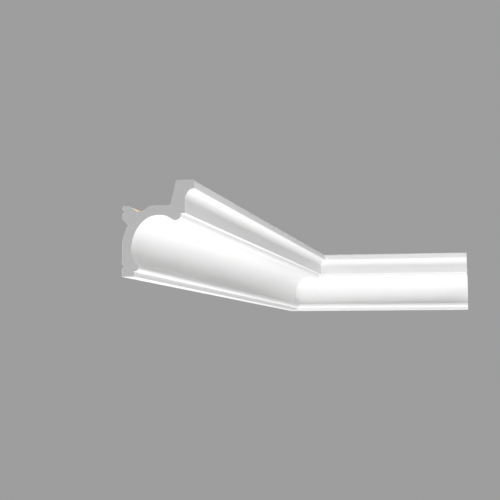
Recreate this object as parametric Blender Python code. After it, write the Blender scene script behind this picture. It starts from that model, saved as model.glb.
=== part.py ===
"""Cornice moulding for indirect light, made up to turn an inside corner.

Two lengths of one foam section meet in a mitre, and a light strip lies in the groove
behind each lip. Metres, +Z up. The long length runs along Y and the short one along
X. The origin is at the height of the underside, under the middle of the box round
both lengths.
"""
import math

import bmesh
import bpy
import numpy as np
from mathutils import Vector

# How far each length runs from the inside corner to its square end
long_run = 1.447
short_run = 0.465

# Foot and lower bead, at the bottom of the front
foot_height = 0.0080
lower_bead_radius = 0.0049
lower_bead_crown = 0.0076
lower_bead_turn = math.radians(32)
foot_setback = 0.0068

# Cove: the waist is the least thickness, and the toe is the stretch below it
waist = 0.0138
toe_out = 0.0160
toe_down = 0.0246
toe_turn = math.radians(69)
cove_out = 0.0400
cove_up = 0.0495
cove_flat = 0.0037

# Ogee and round bead under the soffit
ogee_radius = 0.0260
bead_radius = 0.0086
bead_stand = 0.0014
soffit_step = 0.0019
soffit_width = 0.0059

# Frieze, cavetto and lip, at the top of the front
frieze_height = 0.0187
cavetto_out = 0.0120
cavetto_up = 0.0165
lip_height = 0.0135
lip_nose = 0.0013
lip_nose_up = 0.0025
lip_round = 0.0030

# Trough behind the lip, with a groove whose back side carries the light
lip_thickness = 0.0220
lip_lean = 0.0085
trough_round = 0.0015
shelf_thickness = 0.0143
back_ledge = 0.0076
groove_back_run = 0.0176
groove_front_run = 0.0169
groove_depth = 0.0105
groove_round = 0.0040

# Back, which is glued on: a small V, a hollow and a half-round keyway
key_drop = 0.0085
key_half_height = 0.0031
key_depth = 0.0033
hollow_drop = 0.0194
hollow_thickness = 0.0143
hollow_round = 0.0020
keyway_up = 0.0154
keyway_radius = 0.0026

# Light strip: a flat tape with a round line of phosphor along its middle
tape_width = 0.0100
tape_thickness = 0.0010
tape_inset = 0.0012
line_width = 0.0050
line_height = 0.0010
strip_stop = 0.0150

# Making: gap between touching pieces, and waste that the mitre cuts off
touch_gap = 0.0003
saw_waste = 0.0200

# Mesh: how far a facet may sag under its arc, points on the hollow's side, weld
chord_sag = 0.00005
hollow_samples = 400
hollow_points = 8
weld_distance = 1e-6
sharp_angle = math.radians(30)

# Levels, each worked out from the one below it
lower_bead_level = foot_height + lower_bead_radius
toe_level = lower_bead_level + lower_bead_crown * math.sin(lower_bead_turn)
waist_level = toe_level + toe_down * math.sin(toe_turn)
cove_top = waist_level + cove_up
soffit_level = cove_top + soffit_step
bead_level = soffit_level - bead_stand
frieze_top = soffit_level + frieze_height
cavetto_top = frieze_top + cavetto_up
top_level = cavetto_top + lip_height
shelf_level = cove_top + shelf_thickness

# Reaches out from the back, each worked out from the one before it
toe_reach = waist + toe_out * (1 - math.cos(toe_turn))
lower_bead_reach = toe_reach - lower_bead_radius * math.cos(lower_bead_turn)
foot_reach = lower_bead_reach + lower_bead_radius - foot_setback
cove_end = waist + cove_out
ogee_start = cove_end + cove_flat
ogee_rise = ogee_radius + bead_level - cove_top
bead_reach = ogee_start + math.sqrt((ogee_radius + bead_radius) ** 2 - ogee_rise ** 2)
frieze_reach = bead_reach + bead_radius + soffit_width
lip_reach = frieze_reach + cavetto_out + lip_nose
trough_side = frieze_reach - lip_thickness
groove_foot = back_ledge + groove_back_run


def clear_scene():
    """Removes every object of the scene."""
    for old in list(bpy.data.objects):
        bpy.data.objects.remove(old, do_unlink=True)


def arc(centre, radii, start, end):
    """Points along an ellipse from one angle to another, in degrees, both ends included."""
    facet = 2 * math.acos(1 - chord_sag / max(radii))
    steps = max(2, math.ceil(abs(math.radians(end - start)) / facet))
    turn = np.radians(np.linspace(start, end, steps + 1))
    along = centre[0] + radii[0] * np.cos(turn)
    up = centre[1] + radii[1] * np.sin(turn)
    return list(zip(along, up))


def fillet(before, corner, after, radius):
    """Points of the round that takes the place of a corner between two straight sides."""
    corner = Vector(corner)
    back = (Vector(before) - corner).normalized()
    ahead = (Vector(after) - corner).normalized()
    half = back.angle(ahead) / 2
    centre = corner + (back + ahead).normalized() * radius / math.sin(half)
    reach = radius / math.tan(half)
    first = corner + back * reach - centre
    last = corner + ahead * reach - centre
    start = math.degrees(math.atan2(first.y, first.x))
    sweep = math.degrees(math.atan2(first.cross(last), first.dot(last)))
    return arc(centre, (radius, radius), start, start + sweep)


def foot_outline():
    """Underside, foot and lower bead, which is taller above its middle than below."""
    middle = (lower_bead_reach, lower_bead_level)
    under = arc(middle, (lower_bead_radius,) * 2, -90, 0)
    crown = arc(middle, (lower_bead_radius, lower_bead_crown), 0, math.degrees(lower_bead_turn))
    return [(0, 0), (foot_reach, 0), (foot_reach, foot_height)] + under + crown[1:]


def cove_outline():
    """Parts of two ellipses that meet upright at the waist: a short toe and the cove."""
    toe = arc((waist + toe_out, waist_level), (toe_out, toe_down), 180 + math.degrees(toe_turn), 180)
    upper = arc((cove_end, waist_level), (cove_out, cove_up), 180, 90)
    return toe[1:] + upper[1:]


def bead_outline():
    """The ogee leaves the cove level and runs into the round bead without a corner."""
    turn = math.degrees(math.atan2(ogee_rise, bead_reach - ogee_start))
    ogee = arc((ogee_start, cove_top - ogee_radius), (ogee_radius,) * 2, 90, turn)
    bead = arc((bead_reach, bead_level), (bead_radius,) * 2, turn + 180, 360)
    return ogee + bead[1:] + [(bead_reach + bead_radius, soffit_level)]


def lip_outline():
    """Soffit, frieze, cavetto and the lip's face, up to its top."""
    cavetto = arc((frieze_reach + cavetto_out, frieze_top), (cavetto_out, cavetto_up), 180, 90)
    nose = arc((lip_reach - lip_nose, cavetto_top + lip_nose_up), (lip_nose, lip_nose_up), -90, 0)
    crown = arc((lip_reach - lip_round, top_level - lip_round), (lip_round,) * 2, 0, 90)
    return [(frieze_reach, soffit_level)] + cavetto + nose[1:] + crown


def trough_outline():
    """The lip's leaning inner side, the shelf, the groove and the ledge at the back."""
    lip_inside = (trough_side + lip_lean, top_level)
    side_foot = (trough_side, shelf_level)
    groove_edge = (groove_foot + groove_front_run, shelf_level)
    bottom = (groove_foot, shelf_level - groove_depth)
    return ([lip_inside]
            + fillet(lip_inside, side_foot, groove_edge, trough_round)
            + fillet(side_foot, groove_edge, bottom, groove_round)
            + [bottom, (back_ledge, shelf_level), (0, shelf_level)])


def hollow_outline():
    """The hollow in the back, from its top down.

    Its roof leaves the back at 45 degrees. Its lower side follows the cove's ellipse,
    moved by the foam's thickness, from where the roof meets it down to the back.
    """
    roof = shelf_level - hollow_drop
    turn = np.linspace(0, math.pi / 2, hollow_samples)
    out = np.stack([-np.cos(turn) / cove_out, np.sin(turn) / cove_up])
    out /= np.linalg.norm(out, axis=0)
    reach = cove_end - cove_out * np.cos(turn) + hollow_thickness * out[0]
    level = waist_level + cove_up * np.sin(turn) + hollow_thickness * out[1]
    inside = np.flatnonzero((reach > 0) & (reach < roof - level))
    low, high = inside[0], inside[-1]
    apex = ((reach[high] + roof - level[high]) / 2, (level[high] + roof - reach[high]) / 2)
    picks = np.linspace(high, low, hollow_points).astype(int)[1:]
    side = [(reach[i], level[i]) for i in picks]
    return ([(0, roof)] + fillet((0, roof), apex, side[0], hollow_round)
            + side + [(0, level[low])])


def back_outline():
    """The back from the ledge down to the underside."""
    key = shelf_level - key_drop
    small_v = [(0, key + key_half_height), (key_depth, key), (0, key - key_half_height)]
    keyway = arc((0, keyway_up), (keyway_radius,) * 2, 90, -90)
    return small_v + hollow_outline() + keyway


def moulding_outline():
    """The whole section: reach from the back, and height over the underside."""
    return (foot_outline() + cove_outline() + bead_outline() + lip_outline()
            + trough_outline() + back_outline())


def strip_outline():
    """The strip's section, laid on the groove's back side with the touch gap under it."""
    foot = Vector((groove_foot, shelf_level - groove_depth))
    uphill = (Vector((back_ledge, shelf_level)) - foot).normalized()
    off = Vector((uphill.y, -uphill.x))
    middle = tape_inset + tape_width / 2
    radius = (line_width ** 2 / 4 + line_height ** 2) / (2 * line_height)
    half = math.degrees(math.asin(line_width / 2 / radius))
    tape_top = touch_gap + tape_thickness
    line = arc((middle, tape_top + line_height - radius), (radius,) * 2, 90 + half, 90 - half)
    flat = ([(tape_inset, touch_gap), (tape_inset, tape_top)] + line
            + [(tape_inset + tape_width, tape_top), (tape_inset + tape_width, touch_gap)])
    return [foot + uphill * along + off * rise for along, rise in flat]


def flat_curve(name, outline, length):
    """A filled 2D curve of the outline, as thick as the length."""
    curve = bpy.data.curves.new(name, "CURVE")
    curve.dimensions = "2D"
    curve.fill_mode = "BOTH"
    curve.extrude = length / 2
    spline = curve.splines.new("POLY")
    spline.points.add(len(outline) - 1)
    spline.use_cyclic_u = True
    for point, (reach, level) in zip(spline.points, outline):
        point.co = (reach, level, 0, 1)
    shape = bpy.data.objects.new(name, curve)
    bpy.context.scene.collection.objects.link(shape)
    return shape


def as_solid(shape, collection, material):
    """Turns a placed curve into a closed mesh object in the same place."""
    bpy.context.view_layer.update()
    evaluated = shape.evaluated_get(bpy.context.evaluated_depsgraph_get())
    mesh = bpy.data.meshes.new_from_object(evaluated)
    name = shape.name
    place = shape.matrix_world.copy()
    bpy.data.objects.remove(shape, do_unlink=True)
    cells = bmesh.new()
    cells.from_mesh(mesh)
    bmesh.ops.remove_doubles(cells, verts=cells.verts, dist=weld_distance)
    bmesh.ops.recalc_face_normals(cells, faces=cells.faces)
    cells.to_mesh(mesh)
    cells.free()
    mesh.materials.clear()
    mesh.materials.append(material)
    mesh.shade_smooth()
    mesh.set_sharp_from_angle(angle=sharp_angle)
    solid = bpy.data.objects.new(name, mesh)
    solid.matrix_world = place
    collection.objects.link(solid)
    return solid


def place_along(shape, line, near, far):
    """Stands the section up along Y or X, between two distances from the inside corner."""
    middle = (near + far) / 2
    if line == "Y":
        shape.rotation_euler = (math.pi / 2, 0, 0)
        shape.location = inside_corner + Vector((0, -middle, 0))
    else:
        shape.rotation_euler = (math.pi / 2, 0, -math.pi / 2)
        shape.location = inside_corner + Vector((middle, 0, 0))


def mitre_cutter(name, side, collection):
    """A block whose face stands half the touch gap off the mitre, on the side given.

    Half its side is twice the lip's reach, which is more than the mitre is long.
    """
    size = 4 * lip_reach
    mesh = bpy.data.meshes.new(name)
    cells = bmesh.new()
    bmesh.ops.create_cube(cells, size=size)
    cells.to_mesh(mesh)
    cells.free()
    cutter = bpy.data.objects.new(name, mesh)
    across = Vector((1, 1, 0)).normalized() * side
    cutter.location = inside_corner + across * (size - touch_gap) / 2
    cutter.rotation_euler = (0, 0, math.pi / 4)
    cutter.hide_render = True
    cutter.display_type = "WIRE"
    collection.objects.link(cutter)
    return cutter


def moulding_length(name, line, run, side):
    """One length: the section cut square at its outer end and mitred at the corner."""
    shape = flat_curve(name, moulding_outline(), run + saw_waste)
    place_along(shape, line, -saw_waste, run)
    solid = as_solid(shape, parts, foam)
    cut = solid.modifiers.new("mitre", "BOOLEAN")
    cut.operation = "DIFFERENCE"
    cut.solver = "EXACT"
    cut.object = mitre_cutter(name + "_mitre_cutter", side, cutters)


def light_strip(name, line, run):
    """One strip: square at both ends, and stopped short of the mitre."""
    near = groove_foot + strip_stop
    shape = flat_curve(name, strip_outline(), run - near)
    place_along(shape, line, near, run)
    as_solid(shape, parts, phosphor)


def surface(name, colour, roughness):
    """A plain painted or moulded surface."""
    material = bpy.data.materials.new(name)
    material.use_nodes = True
    shader = material.node_tree.nodes["Principled BSDF"]
    shader.inputs["Base Color"].default_value = (*colour, 1)
    shader.inputs["Roughness"].default_value = roughness
    shader.inputs["Metallic"].default_value = 0
    return material


def new_collection(name):
    """A collection of its own under the scene."""
    collection = bpy.data.collections.new(name)
    bpy.context.scene.collection.children.link(collection)
    return collection


clear_scene()
inside_corner = Vector((-short_run / 2, long_run / 2, 0))
parts = new_collection("Cornice moulding")
cutters = new_collection("Cutters")
foam = surface("Primed foam", (0.78, 0.78, 0.78), 0.55)
phosphor = surface("Phosphor strip", (0.93, 0.74, 0.36), 0.4)
moulding_length("long_length", "Y", long_run, 1)
moulding_length("short_length", "X", short_run, -1)
light_strip("long_light_strip", "Y", long_run)
light_strip("short_light_strip", "X", short_run)
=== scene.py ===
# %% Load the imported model, and measure the inside corner from it
import math

import bpy
import numpy as np
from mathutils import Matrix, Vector, geometry


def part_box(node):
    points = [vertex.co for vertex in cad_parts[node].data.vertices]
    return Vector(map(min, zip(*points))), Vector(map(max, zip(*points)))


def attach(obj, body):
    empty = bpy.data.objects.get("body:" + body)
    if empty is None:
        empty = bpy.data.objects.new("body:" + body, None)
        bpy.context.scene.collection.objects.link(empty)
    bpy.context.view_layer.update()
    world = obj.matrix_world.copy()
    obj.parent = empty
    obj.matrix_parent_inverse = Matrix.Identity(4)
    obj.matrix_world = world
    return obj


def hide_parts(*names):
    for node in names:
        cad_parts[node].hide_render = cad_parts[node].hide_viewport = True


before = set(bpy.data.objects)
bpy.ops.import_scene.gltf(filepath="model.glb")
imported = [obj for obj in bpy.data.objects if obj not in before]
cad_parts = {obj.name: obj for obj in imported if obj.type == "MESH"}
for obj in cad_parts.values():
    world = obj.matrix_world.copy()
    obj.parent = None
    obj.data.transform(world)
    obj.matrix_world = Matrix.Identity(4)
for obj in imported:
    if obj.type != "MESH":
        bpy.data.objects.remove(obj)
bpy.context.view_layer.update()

long_low, long_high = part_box("long_length")
short_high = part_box("short_length")[1]
corner_x, corner_y = long_low.x, short_high.y
long_run = corner_y - long_low.y
short_run = short_high.x - corner_x
print(f"the lengths run {long_run:.3f} m and {short_run:.3f} m from the corner")

# %% [markdown]
# # The camera
# The object is a cornice moulding that hides a light strip behind its lip. Two lengths
# of it turn an inside corner, and it is made to be seen from below. The camera could be
# placed by eye, but a moulding is all long straight edges, and those show the smallest
# error. So the eye's place is given in metres from the corner, with the edges as the
# guide. The eye is below the underside and looks up a little.

# %% The camera
eye_right, eye_back, eye_below = 0.5263, 3.0544, 0.1083
turn_left, tilt_up = math.radians(11.81), math.radians(5.02)
sensor = 36.0
lens = 83.41

camera_data = bpy.data.cameras.new("camera")
camera_data.sensor_width = sensor
camera_data.lens = lens
camera_data.clip_end = 1000
camera = bpy.data.objects.new("camera", camera_data)
camera.location = (corner_x + eye_right, corner_y - eye_back, -eye_below)
camera.rotation_euler = (math.pi / 2 + tilt_up, 0, turn_left)
bpy.context.scene.collection.objects.link(camera)
bpy.context.scene.camera = camera
print("the eye is at", [round(value, 3) for value in camera.location])

# %% [markdown]
# # The section
# A moulding is one section carried along a straight line, so the section is the design.
# It could be traced point by point, but a mould maker draws it with a compass: a foot,
# a small bead, a cove, an ogee that runs into a round bead, a frieze, a cavetto and a
# lip. Each size below belongs to one of those. Sizes are in metres, and a turn is in
# degrees of an arc. Level is measured up from the underside, and reach is measured out
# from the flat back.

# %% Sizes of the foot, the cove and the beads
foot_height = 0.0080
lower_bead_radius = 0.0049
lower_bead_crown = 0.0076
lower_bead_turn = 32
foot_setback = 0.0068

waist = 0.0138
toe_out = 0.0160
toe_down = 0.0246
toe_turn = 69
cove_out = 0.0400
cove_up = 0.0495
cove_flat = 0.0037

ogee_radius = 0.0260
bead_radius = 0.0086
bead_stand = 0.0014
soffit_step = 0.0019
soffit_width = 0.0059

# %% Sizes of the frieze, the lip and the trough
frieze_height = 0.0187
cavetto_out = 0.0120
cavetto_up = 0.0165
lip_height = 0.0135
lip_nose = 0.0013
lip_nose_up = 0.0025
lip_round = 0.0030

lip_thickness = 0.0220
lip_lean = 0.0085
shelf_thickness = 0.0143
back_ledge = 0.0076
groove_back_run = 0.0176
groove_front_run = 0.0169
groove_depth = 0.0105

# %% Sizes of the back
key_drop = 0.0085
key_half_height = 0.0031
key_depth = 0.0033
hollow_drop = 0.0194
hollow_thickness = 0.0143
keyway_up = 0.0154
keyway_radius = 0.0026

# %% Levels up the front, and reaches out from the back
lower_bead_level = foot_height + lower_bead_radius
toe_level = lower_bead_level + lower_bead_crown * math.sin(math.radians(lower_bead_turn))
waist_level = toe_level + toe_down * math.sin(math.radians(toe_turn))
cove_top = waist_level + cove_up
soffit_level = cove_top + soffit_step
bead_level = soffit_level - bead_stand
frieze_top = soffit_level + frieze_height
cavetto_top = frieze_top + cavetto_up
top_level = cavetto_top + lip_height
shelf_level = cove_top + shelf_thickness

toe_reach = waist + toe_out * (1 - math.cos(math.radians(toe_turn)))
lower_bead_reach = toe_reach - lower_bead_radius * math.cos(math.radians(lower_bead_turn))
foot_reach = lower_bead_reach + lower_bead_radius - foot_setback
cove_end = waist + cove_out
ogee_start = cove_end + cove_flat
ogee_rise = ogee_radius + bead_level - cove_top
bead_reach = ogee_start + math.sqrt((ogee_radius + bead_radius) ** 2 - ogee_rise ** 2)
frieze_reach = bead_reach + bead_radius + soffit_width
lip_reach = frieze_reach + cavetto_out + lip_nose
trough_side = frieze_reach - lip_thickness
groove_foot = back_ledge + groove_back_run
print(f"section {1000 * lip_reach:.2f} x {1000 * top_level:.2f} mm, model "
      f"{1000 * (long_high.x - corner_x):.2f} x {1000 * long_high.z:.2f} mm")

# %% [markdown]
# ## Arcs and soft corners
# Every row of the outline holds a reach, a level, how far its corner is rounded, and a 1
# if it is on the back, which nobody sees once the moulding is up. Real foam has no knife
# edges, because the mould and the primer round them by half a millimetre. A Bevel
# modifier could do that, but it would round the sawn ends too. So the corners are
# softened here: each becomes a quadratic curve between a point on either side of it.

# %% Arcs and soft corners
front, back = 0, 1
arc_step = 0.0009
arc_turn = 6
soft_points = 5
most_of_side = 0.45


def arc(centre, radii, start, end, zone=front):
    """Points of an ellipse: its centre, plus each radius times the cosine or the sine of
    an angle that goes from start to end in even steps, in degrees."""
    length = math.radians(abs(end - start)) * max(radii)
    count = max(math.ceil(length / arc_step), math.ceil(abs(end - start) / arc_turn)) + 1
    turn = np.radians(np.linspace(start, end, count))
    reach = centre[0] + radii[0] * np.cos(turn)
    level = centre[1] + radii[1] * np.sin(turn)
    return np.stack([reach, level, 0 * turn, 0 * turn + zone], axis=1)


def corner(reach, level, soft=0.0006, zone=front):
    """One corner of the outline, rounded over a distance soft along both its sides."""
    return np.array([[reach, level, soft, zone]])


def soften(rows):
    """Each corner c turns into (1-t)^2 a + 2t(1-t) c + t^2 b, for even steps of t from 0
    to 1, where a and b lie on its two sides, at most 0.45 of the way along. A row that
    isn't soft stays one point."""
    points, soft, zone = rows[:, :2], rows[:, 2], rows[:, 3]
    before = np.roll(points, 1, axis=0) - points
    after = np.roll(points, -1, axis=0) - points
    before_length = np.linalg.norm(before, axis=1, keepdims=True)
    after_length = np.linalg.norm(after, axis=1, keepdims=True)
    share = np.minimum(soft[:, None], most_of_side * np.minimum(before_length, after_length))
    a = points + before / before_length * share
    b = points + after / after_length * share
    count = np.where(soft > 0, soft_points, 1)
    row = np.repeat(np.arange(len(rows)), count)
    step = np.arange(len(row)) - np.repeat(np.cumsum(count) - count, count)
    t = (step / (soft_points - 1))[:, None]
    curve = (1 - t) ** 2 * a[row] + 2 * t * (1 - t) * points[row] + t ** 2 * b[row]
    return curve, zone[row]


# %% [markdown]
# ## The hollow in the back
# The maker saves foam, and gives the adhesive something to grip, by hollowing the back
# behind the cove. The hollow's lower side is the cove's own curve moved by the foam's
# thickness, so the foam is equally thick there, and its roof leaves the back at 45
# degrees. A free curve would be quicker to draw, but moving the cove's curve along its
# normals keeps the thickness right.

# %% The hollow in the back
roof_level = shelf_level - hollow_drop
fine_steps = 600
kept_step = 12


def hollow():
    """The ellipse of the cove plus its unit normal times the foam's thickness, between
    the back and the roof, on which reach plus level is the level where the roof starts.
    The curve is drawn finely to find its ends, and then every twelfth point is kept."""
    turn = np.linspace(math.pi / 2, 0, fine_steps)
    normal = np.stack([-np.cos(turn) / cove_out, np.sin(turn) / cove_up], axis=1)
    normal /= np.linalg.norm(normal, axis=1, keepdims=True)
    ellipse = np.stack([cove_end - cove_out * np.cos(turn),
                        waist_level + cove_up * np.sin(turn)], axis=1)
    moved = ellipse + hollow_thickness * normal
    inside = (moved[:, 0] > 0) & (moved.sum(axis=1) < roof_level)
    side = moved[inside]
    between = side[kept_step:-kept_step:kept_step]
    between = np.column_stack([between, 0 * between[:, 0], 0 * between[:, 0] + back])
    return np.concatenate([corner(0, roof_level, 0.0008, back),
                           corner(*side[0], 0.0020, back),
                           between, corner(0, side[-1][1], 0.0008, back)])


# %% [markdown]
# ## The whole outline
# The outline goes once round the section against the clock: along the underside, up the
# front, down into the trough behind the lip, through the groove that carries the light,
# and down the back past a small V, the hollow and a half-round keyway.

# %% The whole outline
ogee_turn = math.degrees(math.atan2(ogee_rise, bead_reach - ogee_start))
groove_edge = groove_foot + groove_front_run
key_level = shelf_level - key_drop

foot_and_cove = [
    corner(0, 0, 0.0007, back),
    corner(foot_reach, 0, 0.0007),
    corner(foot_reach, foot_height, 0.0004),
    arc((lower_bead_reach, lower_bead_level), (lower_bead_radius,) * 2, -90, 0)[:-1],
    arc((lower_bead_reach, lower_bead_level), (lower_bead_radius, lower_bead_crown),
        0, lower_bead_turn)[:-1],
    corner(toe_reach, toe_level, 0.0005),
    arc((waist + toe_out, waist_level), (toe_out, toe_down), 180 + toe_turn, 180)[1:],
    arc((cove_end, waist_level), (cove_out, cove_up), 180, 90)[1:],
]
bead_and_lip = [
    arc((ogee_start, cove_top - ogee_radius), (ogee_radius,) * 2, 90, ogee_turn),
    arc((bead_reach, bead_level), (bead_radius,) * 2, ogee_turn + 180, 360)[1:],
    corner(bead_reach + bead_radius, soffit_level, 0.0004),
    corner(frieze_reach, soffit_level, 0.0006),
    arc((frieze_reach + cavetto_out, frieze_top), (cavetto_out, cavetto_up), 180, 90)[:-1],
    corner(lip_reach - lip_nose, cavetto_top, 0.0004),
    arc((lip_reach - lip_nose, cavetto_top + lip_nose_up), (lip_nose, lip_nose_up), -90, 0)[1:],
    arc((lip_reach - lip_round, top_level - lip_round), (lip_round,) * 2, 0, 90),
]
trough_and_back = [
    corner(trough_side + lip_lean, top_level, 0.0008),
    corner(trough_side, shelf_level, 0.0020),
    corner(groove_edge, shelf_level, 0.0035),
    corner(groove_foot, shelf_level - groove_depth, 0.0005),
    corner(back_ledge, shelf_level, 0.0010),
    corner(0, shelf_level, 0.0007, back),
    corner(0, key_level + key_half_height, 0.0005, back),
    corner(key_depth, key_level, 0.0005, back),
    corner(0, key_level - key_half_height, 0.0005, back),
    hollow(),
    arc((0, keyway_up), (keyway_radius,) * 2, 90, -90, back),
]
outline, outline_zone = soften(np.concatenate(foot_and_cove + bead_and_lip + trough_and_back))
ring_size = len(outline)
print(f"the outline has {ring_size} points and reaches "
      f"{1000 * outline[:, 0].max():.2f} x {1000 * outline[:, 1].max():.2f} mm")

# %% [markdown]
# ## The cut face
# A square end is sawn and shows bare foam. At the back it is a little lighter in a thin
# band: the skin where the foam met the mould, and a painted highlight along the back edge.
# One flat face would do for the shape, but the colour has to know how far from the back
# each place lies. So the section is filled with a lattice of points, joined into
# triangles, and each point keeps its distance from the back.

# %% The cut face
lattice_step = 0.0018


def edge_distance(points, chosen):
    """Each point's distance from the nearest of the outline's chosen sides: the point is
    dropped on each, kept between the side's ends, and the shortest drop is taken."""
    side = (np.roll(outline, -1, axis=0) - outline)[None, chosen]
    gap = points[:, None] - outline[None, chosen]
    along = np.clip((gap * side).sum(2) / (side ** 2).sum(2), 0, 1)
    return np.linalg.norm(gap - along[..., None] * side, axis=2).min(axis=1)


def inside_outline(points):
    """A point is inside if a level line from it, going out from the back, crosses the
    outline an odd number of times."""
    x0, y0 = outline.T
    x1, y1 = np.roll(outline, -1, axis=0).T
    x, y = points[:, :1], points[:, 1:]
    spans = (y0 > y) != (y1 > y)
    rise = np.where(y1 == y0, 1, y1 - y0)
    return (spans & (x < x0 + (y - y0) / rise * (x1 - x0))).sum(axis=1) % 2 == 1


across, up = np.meshgrid(np.arange(0, lip_reach, lattice_step),
                         np.arange(0, top_level, lattice_step * math.sqrt(3) / 2))
across[1::2] += lattice_step / 2
lattice = np.stack([across.ravel(), up.ravel()], axis=1)
lattice = lattice[inside_outline(lattice)]
every_side = np.full(ring_size, True)
lattice = lattice[edge_distance(lattice, every_side) > lattice_step / 3]

filled = geometry.delaunay_2d_cdt([Vector(p) for p in np.concatenate([outline, lattice])],
                                  [], [list(range(ring_size))], 1, 1e-7)
section_points = np.array([tuple(point) for point in filled[0]])
section_triangles = np.array(filled[2])
depth_from_back = edge_distance(section_points, outline_zone == back)
print(f"the cut face has {len(section_triangles)} triangles, and its deepest point is "
      f"{1000 * depth_from_back.max():.1f} mm from the back")

# %% [markdown]
# # Carrying a profile along a line
# Both lengths and every part of the light strip are a profile carried along Y or X. A
# curve with a bevel could do it, but it can't cut a mitre. Here each point of the
# profile has its own distances from the corner at the near end and at the far end, so a
# mitre is only a near distance that grows with the reach.

# %% Carrying a profile along a line
def placed(line, reach, level, distance):
    """The corner, plus the reach across the line, the distance along it, and the level."""
    if line == "Y":
        return np.stack([corner_x + reach, corner_y - distance, level], axis=-1)
    return np.stack([corner_x + distance, corner_y - reach, level], axis=-1)


def carried(line, profile, near, far, steps):
    """A point's distance is (1-t) near + t far, for steps of t from 0 to 1. Returns the
    points, ring after ring, and the four-sided faces between each ring and the next."""
    t = np.linspace(0, 1, steps + 1)[:, None]
    distance = (1 - t) * near + t * np.full(len(profile), far)
    reach = np.broadcast_to(profile[:, 0], distance.shape)
    level = np.broadcast_to(profile[:, 1], distance.shape)
    points = placed(line, reach, level, distance).reshape(-1, 3)
    size = len(profile)
    ring = np.arange(steps)[:, None] * size
    i = np.arange(size)
    j = (i + 1) % size
    faces = np.stack([ring + i, ring + j, ring + size + j, ring + size + i], axis=-1)
    return points, facing(line, faces.reshape(-1, 4))


def facing(line, faces):
    """Along X the profile is seen from its other side, so the faces are turned over."""
    return faces if line == "Y" else faces[:, ::-1]


# %% [markdown]
# # Finishes that several materials share
# Two effects are used more than once, so each is a node group. The first is the fine
# grain of a primed surface: broad, very faint clouds in the tone, and tiny bumps.
# The second is foam that was sawn through: small cells, with the faint parallel marks
# of the blade. Pictures of both could be laid on, but noise is sharp at any distance.

# %% Helpers for node trees
def new_tree(name, inputs, outputs):
    """A node group with named inputs, each with its kind and value, and named outputs."""
    tree = bpy.data.node_groups.new(name, "ShaderNodeTree")
    for label, kind, value in inputs:
        socket = tree.interface.new_socket(label, in_out="INPUT", socket_type=kind)
        if value is not None:
            socket.default_value = value
    for label in outputs:
        tree.interface.new_socket(label, in_out="OUTPUT", socket_type="NodeSocketFloat")
    return tree, tree.nodes.new("NodeGroupInput"), tree.nodes.new("NodeGroupOutput")


def math_node(tree, operation, first, second, clamp=False):
    """One sum, product or other operation on two values or sockets."""
    node = tree.nodes.new("ShaderNodeMath")
    node.operation = operation
    node.use_clamp = clamp
    for socket, value in zip(node.inputs, (first, second)):
        if isinstance(value, (int, float)):
            socket.default_value = value
        else:
            tree.links.new(value, socket)
    return node.outputs[0]


def noise(tree, vector, scale, detail=2.0):
    """A noise pattern on the given vector. Its value is 0.5 on average."""
    node = tree.nodes.new("ShaderNodeTexNoise")
    node.inputs["Detail"].default_value = detail
    tree.links.new(vector, node.inputs["Vector"])
    if isinstance(scale, (int, float)):
        node.inputs["Scale"].default_value = scale
    else:
        tree.links.new(scale, node.inputs["Scale"])
    return node.outputs["Fac"]


# %% Group: primed grain
grain_group, given, result = new_tree(
    "primed grain",
    [("Vector", "NodeSocketVector", None), ("Grains per metre", "NodeSocketFloat", 1500.0),
     ("Clouds per metre", "NodeSocketFloat", 14.0), ("Cloud strength", "NodeSocketFloat", 0.02)],
    ["Tone", "Height"])
clouds = noise(grain_group, given.outputs["Vector"], given.outputs["Clouds per metre"], 3.0)
cloud_part = math_node(grain_group, "SUBTRACT", clouds, 0.5)
cloud_part = math_node(grain_group, "MULTIPLY", cloud_part, given.outputs["Cloud strength"])
grain_group.links.new(math_node(grain_group, "ADD", cloud_part, 1.0), result.inputs["Tone"])
grains = noise(grain_group, given.outputs["Vector"], given.outputs["Grains per metre"], 2.0)
grain_group.links.new(grains, result.inputs["Height"])
print("primed grain:", [item.name for item in grain_group.interface.items_tree])

# %% Group: sawn cells
cell_smoothness = 0.4
mark_turn = math.radians(12)
mark_stretch = (0.03, 0.03, 1)
mark_depth = 0.6

cell_group, given, result = new_tree(
    "sawn cells",
    [("Vector", "NodeSocketVector", None), ("Cells per metre", "NodeSocketFloat", 1600.0),
     ("Marks per metre", "NodeSocketFloat", 500.0)],
    ["Cells", "Marks", "Height"])
cells = cell_group.nodes.new("ShaderNodeTexVoronoi")
cells.feature = "SMOOTH_F1"
cells.inputs["Smoothness"].default_value = cell_smoothness
cell_group.links.new(given.outputs["Vector"], cells.inputs["Vector"])
cell_group.links.new(given.outputs["Cells per metre"], cells.inputs["Scale"])
cell_group.links.new(cells.outputs["Distance"], result.inputs["Cells"])
stretch = cell_group.nodes.new("ShaderNodeMapping")
stretch.inputs["Rotation"].default_value = (0, mark_turn, 0)
stretch.inputs["Scale"].default_value = mark_stretch
cell_group.links.new(given.outputs["Vector"], stretch.inputs["Vector"])
marks = noise(cell_group, stretch.outputs["Vector"], given.outputs["Marks per metre"], 3.0)
cell_group.links.new(marks, result.inputs["Marks"])
low_marks = math_node(cell_group, "MULTIPLY", marks, mark_depth)
cell_group.links.new(math_node(cell_group, "ADD", low_marks, cells.outputs["Distance"]),
                     result.inputs["Height"])
print("sawn cells:", [item.name for item in cell_group.interface.items_tree])

# %% [markdown]
# # Materials of the moulding
# The face is primed at the works in a satin white. The back is the same foam with less
# primer on it, so it is duller and a little greyer. Two separate materials would show a
# hard line at the edge, so one material mixes both by an attribute that the outline
# gave to its points.

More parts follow.
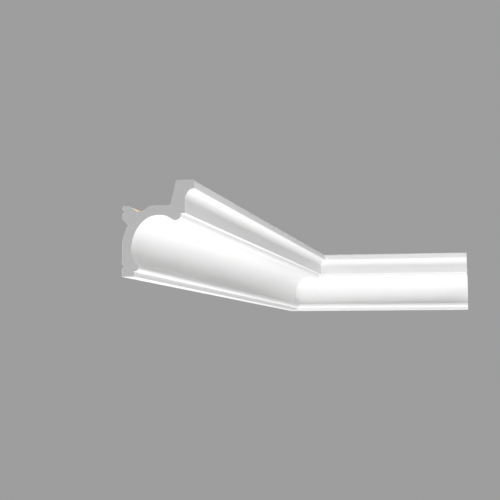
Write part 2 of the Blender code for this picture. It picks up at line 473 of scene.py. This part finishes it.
# %% Helpers for materials
def new_material(name):
    """A material with its Principled shader, and its object coordinates."""
    material = bpy.data.materials.new(name)
    material.use_nodes = True
    tree = material.node_tree
    shader = tree.nodes["Principled BSDF"]
    place = tree.nodes.new("ShaderNodeTexCoord").outputs["Object"]
    return material, tree, shader, place


def use_group(tree, group, vector, **values):
    """The group as a node, on the given vector, with its own values."""
    node = tree.nodes.new("ShaderNodeGroup")
    node.node_tree = group
    tree.links.new(vector, node.inputs["Vector"])
    for label, value in values.items():
        node.inputs[label.replace("_", " ")].default_value = value
    return node


def read_attribute(tree, name):
    """A value that the mesh carries at its points."""
    node = tree.nodes.new("ShaderNodeAttribute")
    node.attribute_name = name
    return node.outputs["Fac"]


def blend(tree, factor, first, second):
    """The first colour where the factor is 0, and the second where it is 1."""
    node = tree.nodes.new("ShaderNodeMix")
    node.data_type = "RGBA"
    tree.links.new(factor, node.inputs["Factor"])
    for socket, colour in ((node.inputs[6], first), (node.inputs[7], second)):
        socket.default_value = (*colour, 1)
    return node.outputs[2]


def toned(tree, colour, tone):
    """A colour times a grey tone."""
    node = tree.nodes.new("ShaderNodeVectorMath")
    node.operation = "SCALE"
    tree.links.new(colour, node.inputs[0])
    tree.links.new(tone, node.inputs["Scale"])
    return node.outputs["Vector"]


def raise_surface(tree, shader, height, depth, strength):
    """A bump whose full height is depth, in metres, fed into the shader's normal."""
    bump = tree.nodes.new("ShaderNodeBump")
    bump.inputs["Distance"].default_value = depth
    bump.inputs["Strength"].default_value = strength
    tree.links.new(height, bump.inputs["Height"])
    tree.links.new(bump.outputs["Normal"], shader.inputs["Normal"])


# %% Primed foam
primed_white = (0.78, 0.78, 0.778)
back_white = (0.68, 0.68, 0.67)
satin_roughness, back_rougher = 0.5, 0.3
grain_height = 0.00008

primed_foam, tree, shader, place = new_material("primed foam")
grain = use_group(tree, grain_group, place)
on_back = read_attribute(tree, "on_back")
paint = blend(tree, on_back, primed_white, back_white)
tree.links.new(toned(tree, paint, grain.outputs["Tone"]), shader.inputs["Base Color"])
back_part = math_node(tree, "MULTIPLY", on_back, back_rougher)
tree.links.new(math_node(tree, "ADD", back_part, satin_roughness), shader.inputs["Roughness"])
raise_surface(tree, shader, grain.outputs["Height"], grain_height, strength=0.35)
print("primed foam:", len(tree.nodes), "nodes")

# %% [markdown]
# The square end next to the eye is sawn and bare. The foam there is a mid grey beside
# the white primer. Its cells are so small that they only just show, and the skin at
# the back is denser and lighter; its lighter grey is also a painted highlight along the
# back edge. So the distance from the back mixes two greys.

# %% Sawn foam
core_grey = (0.458, 0.458, 0.458)
# The lighter grey is the foam's skin, and also a painted highlight along the back edge.
skin_and_highlight_grey = (0.70, 0.70, 0.70)
skin_and_highlight_width = 0.0008
cell_share, mark_share, darkest = 0.10, 0.06, 0.93
cell_height = 0.00015

sawn_foam, tree, shader, place = new_material("sawn foam")
sawn = use_group(tree, cell_group, place)
depth = read_attribute(tree, "depth_from_back")
deep = math_node(tree, "DIVIDE", depth, skin_and_highlight_width, clamp=True)
foam_colour = blend(tree, deep, skin_and_highlight_grey, core_grey)
cell_tone = math_node(tree, "MULTIPLY", sawn.outputs["Cells"], cell_share)
mark_tone = math_node(tree, "MULTIPLY", sawn.outputs["Marks"], mark_share)
tone = math_node(tree, "ADD", math_node(tree, "ADD", cell_tone, mark_tone), darkest)
tree.links.new(toned(tree, foam_colour, tone), shader.inputs["Base Color"])
shader.inputs["Roughness"].default_value = 0.9
raise_surface(tree, shader, sawn.outputs["Height"], cell_height, strength=0.4)
print("sawn foam:", len(tree.nodes), "nodes")

# %% [markdown]
# The other square end is white, and whiter than the primed face: a painted highlight for the
# light on that end. It was sawn too and then primed, so it has the grain of the primer over cells
# that are nearly filled.

# %% Primed end, with a painted highlight
# Both whites are lighter than the face's primer: a painted highlight on this end.
painted_highlight_white = (0.86, 0.86, 0.858)
painted_highlight_pore_white = (0.80, 0.80, 0.795)
filled_height = 0.00006

primed_end_painted_highlight, tree, shader, place = new_material("primed end with painted highlight")
filled_cells = use_group(tree, cell_group, place)
pores_with_painted_highlight = blend(tree, filled_cells.outputs["Cells"], painted_highlight_white, painted_highlight_pore_white)
grain = use_group(tree, grain_group, place)
tree.links.new(toned(tree, pores_with_painted_highlight, grain.outputs["Tone"]), shader.inputs["Base Color"])
shader.inputs["Roughness"].default_value = 0.6
raise_surface(tree, shader, filled_cells.outputs["Height"], filled_height, strength=0.3)
print("primed end with painted highlight:", len(tree.nodes), "nodes")

# %% [markdown]
# # The two lengths
# Each length is the section carried from the mitre to its square end, and closed by two
# cut faces. The Boolean that cuts a real mitre could be used here as well, but a
# near distance equal to the reach gives the same plane with clean faces. A joint this
# well filled is only a hairline.

# %% Helpers for pieces
sharp_angle = math.radians(40)


def add_piece(name, points, faces, materials):
    """A mesh object at the origin, made from points and faces."""
    mesh = bpy.data.meshes.new(name)
    mesh.from_pydata(points, [], faces)
    for material in materials:
        mesh.materials.append(material)
    piece = bpy.data.objects.new(name, mesh)
    bpy.context.scene.collection.objects.link(piece)
    return piece


def carry_values(piece, name, parts):
    """Stores one value at each point of the mesh."""
    values = np.concatenate(parts).astype(np.float32)
    piece.data.attributes.new(name, "FLOAT", "POINT").data.foreach_set("value", values)


def sharpen(piece):
    """Marks the true edges, and lets the large faces set the shading at the small ones."""
    piece.data.shade_smooth()
    piece.data.set_sharp_from_angle(angle=sharp_angle)
    finish = piece.modifiers.new("flat faces stay flat", "WEIGHTED_NORMAL")
    finish.keep_sharp = True


# %% The two lengths
joint = 0.00005
ring_spacing = 0.030


def moulding_length(name, line, run, end_material):
    """The outline is carried from a distance equal to its reach to the square end. Each
    cut face is the filled section, moved to the mitre or to the square end."""
    steps = round(run / ring_spacing)
    points, sides = carried(line, outline, outline[:, 0] + joint, run, steps)
    inner = section_points[ring_size:]
    mitre_inner = placed(line, inner[:, 0], inner[:, 1], inner[:, 0] + joint)
    end_inner = placed(line, inner[:, 0], inner[:, 1], np.full(len(inner), run))
    on_ring = section_triangles < ring_size
    mitre_face = np.where(on_ring, section_triangles, section_triangles - ring_size + len(points))
    end_face = np.where(on_ring, section_triangles + steps * ring_size,
                        section_triangles - ring_size + len(points) + len(inner))
    faces = sides.tolist()
    faces += facing(line, mitre_face[:, ::-1]).tolist() + facing(line, end_face).tolist()
    piece = add_piece(name, np.concatenate([points, mitre_inner, end_inner]), faces,
                      [primed_foam, sawn_foam, end_material])
    slot_index = np.repeat([0, 1, 2], [len(sides), len(mitre_face), len(end_face)])
    piece.data.polygons.foreach_set("material_index", slot_index)
    carry_values(piece, "depth_from_back", [np.tile(depth_from_back[:ring_size], steps + 1),
                                       depth_from_back[ring_size:], depth_from_back[ring_size:]])
    carry_values(piece, "on_back", [np.tile(outline_zone, steps + 1), np.zeros(2 * len(inner))])
    sharpen(piece)
    print(f"{name}: {len(piece.data.vertices)} points, {len(faces)} faces")
    return piece


long_moulding = moulding_length("long_moulding", "Y", long_run, sawn_foam)
short_moulding = moulding_length("short_moulding", "X", short_run, primed_end_painted_highlight)
for piece, node in ((long_moulding, "long_length"), (short_moulding, "short_length")):
    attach(piece, "root")
    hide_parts(node)

# %% [markdown]
# # The light strip
# The strip is a flexible white board on adhesive foam, with one unbroken line of yellow
# phosphor over its small light sources. It lies on the slope of the groove. One box with
# a picture on it would do from far off but not up close, so each layer is its own
# profile. They are drawn flat, as a place along the slope and a rise off it, and then
# turned.

# %% Sizes of the strip
tape_width = 0.0100
tape_inset = 0.0012
strip_stop = 0.0150
backing_rise, board_rise, line_rise, line_top = 0.00005, 0.0005, 0.0013, 0.0023
line_width = 0.0050

groove_bottom = np.array([groove_foot, shelf_level - groove_depth])
uphill = np.array([back_ledge, shelf_level]) - groove_bottom
uphill /= np.linalg.norm(uphill)
off_slope = np.array([uphill[1], -uphill[0]])
slope = math.degrees(math.atan2(uphill[1], -uphill[0]))
print(f"the groove's slope is {slope:.1f} degrees")

# %% [markdown]
# Each layer has its own finish: foam tape with open pores, a board with a thin coat of
# white resist, tinned copper, a resistor's black glaze, and soft yellow silicone. All
# are one colour from afar and none is quite even up close, so the same grain group
# mixes two near colours in each, at its own size and height.

# %% Materials of the strip
strip_clouds = 60.0
strip_bump = 0.3


def strip_material(name, darker, lighter, roughness, grains, height, clouds=0.06, metallic=0.0):
    """The grain mixes two colours. Broad clouds change the tone, and the roughness is
    its own value times that tone. Returns the material, and what more nodes need."""
    material, tree, shader, place = new_material(name)
    grain = use_group(tree, grain_group, place, Grains_per_metre=grains,
                      Clouds_per_metre=strip_clouds, Cloud_strength=clouds)
    colour = blend(tree, grain.outputs["Height"], darker, lighter)
    tree.links.new(toned(tree, colour, grain.outputs["Tone"]), shader.inputs["Base Color"])
    rough = math_node(tree, "MULTIPLY", grain.outputs["Tone"], roughness)
    tree.links.new(rough, shader.inputs["Roughness"])
    shader.inputs["Metallic"].default_value = metallic
    raise_surface(tree, shader, grain.outputs["Height"], height, strip_bump)
    print(f"{name}: {len(tree.nodes)} nodes")
    return material, tree, shader, grain


adhesive = strip_material("adhesive foam", (0.70, 0.70, 0.68), (0.86, 0.86, 0.84),
                          roughness=0.85, grains=3000.0, height=0.0001)[0]
white_board = strip_material("white board", (0.86, 0.81, 0.69), (0.90, 0.85, 0.73),
                             roughness=0.3, grains=2000.0, height=0.00002)[0]
copper = strip_material("tinned copper", (0.90, 0.58, 0.32), (1.0, 0.78, 0.52),
                        roughness=0.32, grains=4000.0, height=0.00003,
                        clouds=0.3, metallic=1.0)[0]
resistor = strip_material("resistor", (0.02, 0.02, 0.025), (0.04, 0.04, 0.045),
                          roughness=0.4, grains=4000.0, height=0.00002)[0]

# %% [markdown]
# The yellow line also glows, a little more over each light source. The sources follow
# the strip, whichever way it runs, so they can't be placed by X or Y. A value carried
# along the strip places them, and a sine of it rises once over every source.

# %% Phosphor
source_spacing = 0.0021
source_glow = 0.12
strip_glow = 0.15

phosphor, tree, shader, grain = strip_material("phosphor", (0.91, 0.70, 0.31),
                                               (0.95, 0.78, 0.41), roughness=0.35,
                                               grains=2500.0, height=0.00003)
turns = math_node(tree, "MULTIPLY", read_attribute(tree, "along"), 2 * math.pi / source_spacing)
glow = math_node(tree, "MULTIPLY", math_node(tree, "SINE", turns, 0.0), source_glow)
glow = math_node(tree, "ADD", glow, grain.outputs["Tone"])
warm = blend(tree, grain.outputs["Height"], (1.0, 0.72, 0.33), (1.0, 0.76, 0.39))
tree.links.new(toned(tree, warm, glow), shader.inputs["Emission Color"])
shader.inputs["Emission Strength"].default_value = strip_glow
print("phosphor with its glow:", len(tree.nodes), "nodes")

# %% [markdown]
# Adhesive, board and line lie on each other. Each is a small profile on the slope that
# is carried along the groove and closed at both ends. Plain boxes would do, but adhesive
# and board have slightly blunt edges, which catch the light, and the line was laid on
# soft, so it is part of a circle.

# %% The layers of the strip
board_middle = tape_inset + tape_width / 2
dome_points = 25


def on_slope(flat):
    """The groove's bottom, plus along times the uphill direction, plus rise times the
    direction off the slope."""
    return groove_bottom + flat[:, :1] * uphill + flat[:, 1:] * off_slope


def slab(inset, low, high, soft=0.00012):
    """A flat layer with chamfered edges, against the clock on the slope."""
    left, right = tape_inset + inset, tape_inset + tape_width - inset
    return np.array([[left, high - soft], [left, low + soft], [left + soft, low],
                     [right - soft, low], [right, low + soft], [right, high - soft],
                     [right - soft, high], [left + soft, high]])


def dome():
    """The phosphor line is part of a circle, as wide as the line and as high as its rise."""
    rise, half = line_top - line_rise, line_width / 2
    radius = (half ** 2 + rise ** 2) / (2 * rise)
    turn = np.linspace(math.asin(half / radius), -math.asin(half / radius), dome_points)
    return np.stack([board_middle + radius * np.sin(turn),
                     line_top - radius + radius * np.cos(turn)], axis=1)


def strip_layer(name, line, run, flat, material, shorter=0.0):
    """A flat profile turned on to the slope, carried along the line and closed. Each of
    its points keeps its distance along the line."""
    near = groove_foot + strip_stop + shorter
    profile = on_slope(flat)
    if np.cross(profile[1] - profile[0], profile[2] - profile[0]) < 0:
        profile = profile[::-1]
    steps = round(run / ring_spacing)
    points, sides = carried(line, profile, near, run - shorter, steps)
    first = np.arange(len(profile))[None]
    faces = sides.tolist() + facing(line, first[:, ::-1]).tolist()
    faces += facing(line, first + steps * len(profile)).tolist()
    piece = add_piece(name, points, faces, [material])
    along = np.linspace(near, run - shorter, steps + 1)
    carry_values(piece, "along", [along.repeat(len(profile))])
    sharpen(piece)
    return piece


# %% [markdown]
# Along the board, every 50 mm, there is a place where it may be cut, with two copper
# pads on each side of the line. Each stretch between two such places has two resistors.
# They are the same small block again and again, so one block is written down once and
# numpy adds it to every place in one step.

# %% Pads and resistors
cut_spacing = 0.050
pad_size, pad_along = (0.0016, 0.0018, 0.00006), (-0.0012, 0.0012)
resistor_size, resistor_along = (0.0008, 0.0016, 0.00045), (0.012, 0.037)
pads_apart = 0.0076
block_sink = 0.00001
block_corners = np.array([[x, y, z] for z in (0, 1) for y in (-0.5, 0.5) for x in (-0.5, 0.5)])
block_faces = np.array([[0, 2, 3, 1], [4, 5, 7, 6], [0, 1, 5, 4], [1, 3, 7, 5],
                        [3, 2, 6, 7], [2, 0, 4, 6]])


def blocks(name, line, run, across, along, size, material):
    """Every block's corner is its middle plus the unit corner times the size. A middle
    lies at one of the places across the board, and along it past each cut place. A block
    sinks a little into the board, and one that would pass its end is left out."""
    near = groove_foot + strip_stop
    cuts = np.arange(near, run, cut_spacing)
    width, length, height = size
    middles = np.array([(a, c + b) for c in cuts for a in across for b in along])
    on_board = (middles[:, 1] - length / 2 > near) & (middles[:, 1] + length / 2 < run)
    middles = middles[on_board]
    flat = np.stack([middles[:, None, 0] + block_corners[None, :, 0] * width,
                     line_rise - block_sink + block_corners[None, :, 2] * height
                     + 0 * middles[:, None, 0]], axis=-1).reshape(-1, 2)
    distance = (middles[:, None, 1] + block_corners[None, :, 1] * length).ravel()
    section = on_slope(flat)
    points = placed(line, section[:, 0], section[:, 1], distance)
    faces = (block_faces[None] + 8 * np.arange(len(middles))[:, None, None]).reshape(-1, 4)
    piece = add_piece(name, points, facing(line, faces[:, ::-1]), [material])
    print(f"{name}: {len(middles)} blocks")
    return piece


# %% [markdown]
# Both lengths carry the same strip, cut to their own run. The short one could be a
# mirrored copy of the long one, but a mirror turns faces inside out, and the copy would
# still have to be cut shorter. So one loop builds each along its own line. The adhesive
# stays a little inside the board, so that none of it shows from above, and the yellow
# line stops just short of the board's ends.

# %% Both strips
adhesive_inset, adhesive_shorter, line_shorter = 0.0003, 0.0004, 0.0002
pad_across = (board_middle - pads_apart / 2, board_middle + pads_apart / 2)
adhesive_profile = slab(adhesive_inset, backing_rise, board_rise)
board_profile = slab(0, board_rise, line_rise)

for strip, line, run in (("long", "Y", long_run), ("short", "X", short_run)):
    name = strip + "_strip_"
    layers = [
        strip_layer(name + "adhesive", line, run, adhesive_profile, adhesive, adhesive_shorter),
        strip_layer(name + "board", line, run, board_profile, white_board),
        strip_layer(name + "line", line, run, dome(), phosphor, line_shorter),
        blocks(name + "pads", line, run, pad_across, pad_along, pad_size, copper),
        blocks(name + "resistors", line, run, pad_across[:1], resistor_along, resistor_size,
               resistor),
    ]
    for layer in layers:
        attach(layer, "root")
        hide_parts(strip + "_light_strip")

# %% [markdown]
# # Light and floor
# A white moulding shows its shape only by its shades. Here most of the light comes from
# high above, and a pale floor throws much of it back up, so faces that look down are
# whitest and the toe of the cove is darkest. Many small lamps could do the same, but a
# bright ring in the surround is one light without a visible edge. Its middle is dark,
# or faces that look straight up would be burnt out. The floor lies well below, since
# the moulding is seen from underneath.
#
# Against a white surround a white moulding would be lost. So rays from the camera meet
# one even grey, both on the floor and beyond it, while all other rays meet the light.

# %% The surround
scene = bpy.context.scene
scene.view_settings.view_transform = "Standard"
ring_light = 2.4
ring_stops = ((0.62, 0), (0.78, 1), (0.90, 1), (0.97, 0))
backdrop_grey = (0.34, 0.34, 0.34, 1)


def seen_as_grey(tree, grey_kind, light, output):
    """A shader that is an even grey to rays from the camera, and the light to others."""
    grey = tree.nodes.new(grey_kind)
    grey.inputs["Color"].default_value = backdrop_grey
    choose = tree.nodes.new("ShaderNodeMixShader")
    ray = tree.nodes.new("ShaderNodeLightPath")
    tree.links.new(ray.outputs["Is Camera Ray"], choose.inputs[0])
    tree.links.new(light.outputs[0], choose.inputs[1])
    tree.links.new(grey.outputs[0], choose.inputs[2])
    tree.links.new(choose.outputs[0], output.inputs["Surface"])


world = bpy.data.worlds.new("light from above")
scene.world = world
world.use_nodes = True
tree = world.node_tree
direction = tree.nodes.new("ShaderNodeSeparateXYZ")
tree.links.new(tree.nodes.new("ShaderNodeTexCoord").outputs["Generated"], direction.inputs[0])
ring = tree.nodes.new("ShaderNodeValToRGB")
ring.color_ramp.interpolation = "EASE"
ring.color_ramp.elements[1].color = (0, 0, 0, 1)
for height, shine in ring_stops:
    ring.color_ramp.elements.new(height).color = (shine, shine, shine, 1)
tree.links.new(direction.outputs["Z"], ring.inputs["Fac"])
sky = tree.nodes["Background"]
sky.inputs["Strength"].default_value = ring_light
tree.links.new(ring.outputs["Color"], sky.inputs["Color"])
seen_as_grey(tree, "ShaderNodeBackground", sky, tree.nodes["World Output"])
ring_angles = [round(math.degrees(math.asin(stop[0]))) for stop in ring_stops]
print("the ring of light stands", ring_angles, "degrees up")

# %% [markdown]
# Two soft lamps help the ring. One stands low in front, under the cove. The other stands
# behind, where it can't reach the front, and lifts the flat backs off the grey.

# %% The lamps
def soft_lamp(name, place, width, watts):
    """A round lamp at the place, turned to the origin and hidden from the camera."""
    data = bpy.data.lights.new(name, "AREA")
    data.shape = "DISK"
    data.size = width
    data.energy = watts
    lamp = bpy.data.objects.new(name, data)
    lamp.location = place
    lamp.rotation_euler = Vector(place).to_track_quat("Z", "Y").to_euler()
    lamp.visible_camera = False
    scene.collection.objects.link(lamp)
    print(f"{name}: {Vector(place).length:.1f} m off, {watts} W")


soft_lamp("low front lamp", place=(0.7, -1.9, -2.3), width=2.5, watts=84)
soft_lamp("rear lamp", place=(-3.2, 3.4, 0.3), width=3.0, watts=80)

# %% The floor
floor_depth, floor_half = 6.5, 500
floor_white = (0.85, 0.85, 0.85, 1)

floor_points = np.array([[-1, -1, 0], [1, -1, 0], [1, 1, 0], [-1, 1, 0]]) * floor_half
floor_points[:, 2] = -floor_depth
floor_material, tree, shader, place = new_material("pale floor")
shader.inputs["Base Color"].default_value = floor_white
shader.inputs["Roughness"].default_value = 0.9
seen_as_grey(tree, "ShaderNodeEmission", shader, tree.nodes["Material Output"])
floor = add_piece("floor", floor_points, [[0, 1, 2, 3]], [floor_material])
